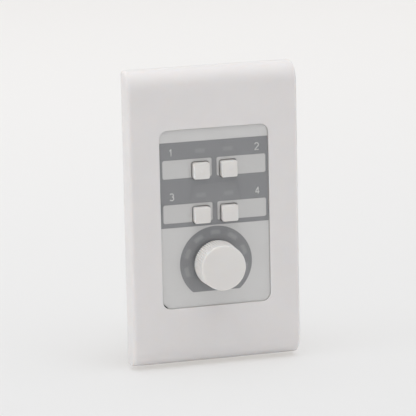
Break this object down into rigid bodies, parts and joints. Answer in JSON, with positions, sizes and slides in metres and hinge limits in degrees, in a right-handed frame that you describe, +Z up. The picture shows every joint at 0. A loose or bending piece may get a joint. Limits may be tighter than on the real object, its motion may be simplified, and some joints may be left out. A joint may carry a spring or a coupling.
{
  "type": "audio control panel",
  "caption": "Wall-mounted audio control panel: rolled-edge plate with a clear window, square push buttons, a ribbed endless volume knob and a stepped rear housing with network sockets.",
  "frame": {"origin": "midway between the two wall box screws, on the plane of the wall", "axes": "+X to the right seen from the front, +Y into the wall, +Z up"},
  "size_m": [0.07, 0.0479, 0.12],
  "materials": {
    "plate_plastic": "fine matte moulding",
    "key_plastic": "fine matte moulding",
    "lens_acrylic": "clear and polished",
    "label_print": "pale grey print",
    "film_ink": "dark grey translucent print",
    "guide_acrylic": "clear moulding",
    "plunger_plastic": "matte",
    "black_plastic": "matte",
    "board_laminate": "green solder mask",
    "led_resin": "clear resin",
    "encoder_metal": "die-cast",
    "shaft_metal": "turned",
    "chassis_plastic": "fine texture",
    "yoke_steel": "zinc plated sheet",
    "screw_steel": "zinc plated",
    "capacitor_can": "drawn can",
    "socket_plastic": "satin",
    "contact_gold": "gold plated",
    "switch_plastic": "satin",
    "lever_plastic": "satin"
  },
  "bodies": {
    "panel": {"wall_plate": "plate_plastic", "window_lens": "lens_acrylic", "label_sheet": "label_print", "label_film": "film_ink", "button_light_guides": "guide_acrylic", "level_light_guide": "guide_acrylic", "switch_bodies": "black_plastic", "pin_header": "black_plastic", "header_socket": "black_plastic", "led_driver_chip": "black_plastic", "controller_chip": "black_plastic", "front_board": "board_laminate", "main_board": "board_laminate", "button_leds": "led_resin", "level_leds": "led_resin", "encoder_body": "encoder_metal", "inner_chassis": "chassis_plastic", "rear_housing": "chassis_plastic", "mounting_yoke": "yoke_steel", "chassis_screws": "screw_steel", "front_board_screws": "screw_steel", "main_board_screws": "screw_steel", "housing_screws": "screw_steel", "capacitors": "capacitor_can", "network_socket_1": "socket_plastic", "network_socket_2": "socket_plastic", "socket_contacts": "contact_gold", "dip_switch_body": "switch_plastic"},
    "volume_dial": {"volume_knob": "key_plastic", "encoder_shaft": "shaft_metal"},
    "button_1": {"button_cap_1": "key_plastic", "switch_plunger_1": "plunger_plastic"},
    "button_2": {"button_cap_2": "key_plastic", "switch_plunger_2": "plunger_plastic"},
    "button_3": {"button_cap_3": "key_plastic", "switch_plunger_3": "plunger_plastic"},
    "button_4": {"button_cap_4": "key_plastic", "switch_plunger_4": "plunger_plastic"},
    "address_lever_1": {"dip_lever_1": "lever_plastic"},
    "address_lever_2": {"dip_lever_2": "lever_plastic"},
    "address_lever_3": {"dip_lever_3": "lever_plastic"},
    "address_lever_4": {"dip_lever_4": "lever_plastic"},
    "address_lever_5": {"dip_lever_5": "lever_plastic"},
    "address_lever_6": {"dip_lever_6": "lever_plastic"}
  },
  "joints": [
    {"name": "volume_turn", "type": "hinge", "parent": "panel", "child": "volume_dial", "pos_m": [0, 0, -0.0188], "axis": [0, 1, 0], "continuous": true},
    {"name": "button_1_press", "type": "slide", "parent": "panel", "child": "button_1", "axis": [0, 1, 0], "range_m": [0, 0.0003], "stiffness_N_per_m": 1000},
    {"name": "button_2_press", "type": "slide", "parent": "panel", "child": "button_2", "axis": [0, 1, 0], "range_m": [0, 0.0003], "stiffness_N_per_m": 1000},
    {"name": "button_3_press", "type": "slide", "parent": "panel", "child": "button_3", "axis": [0, 1, 0], "range_m": [0, 0.0003], "stiffness_N_per_m": 1000},
    {"name": "button_4_press", "type": "slide", "parent": "panel", "child": "button_4", "axis": [0, 1, 0], "range_m": [0, 0.0003], "stiffness_N_per_m": 1000},
    {"name": "address_1_slide", "type": "slide", "parent": "panel", "child": "address_lever_1", "axis": [0, 0, 1], "range_m": [0, 0.002]},
    {"name": "address_2_slide", "type": "slide", "parent": "panel", "child": "address_lever_2", "axis": [0, 0, 1], "range_m": [0, 0.002]},
    {"name": "address_3_slide", "type": "slide", "parent": "panel", "child": "address_lever_3", "axis": [0, 0, 1], "range_m": [0, 0.002]},
    {"name": "address_4_slide", "type": "slide", "parent": "panel", "child": "address_lever_4", "axis": [0, 0, 1], "range_m": [0, 0.002]},
    {"name": "address_5_slide", "type": "slide", "parent": "panel", "child": "address_lever_5", "axis": [0, 0, 1], "range_m": [0, 0.002]},
    {"name": "address_6_slide", "type": "slide", "parent": "panel", "child": "address_lever_6", "axis": [0, 0, 1], "range_m": [0, 0.002]}
  ]
}
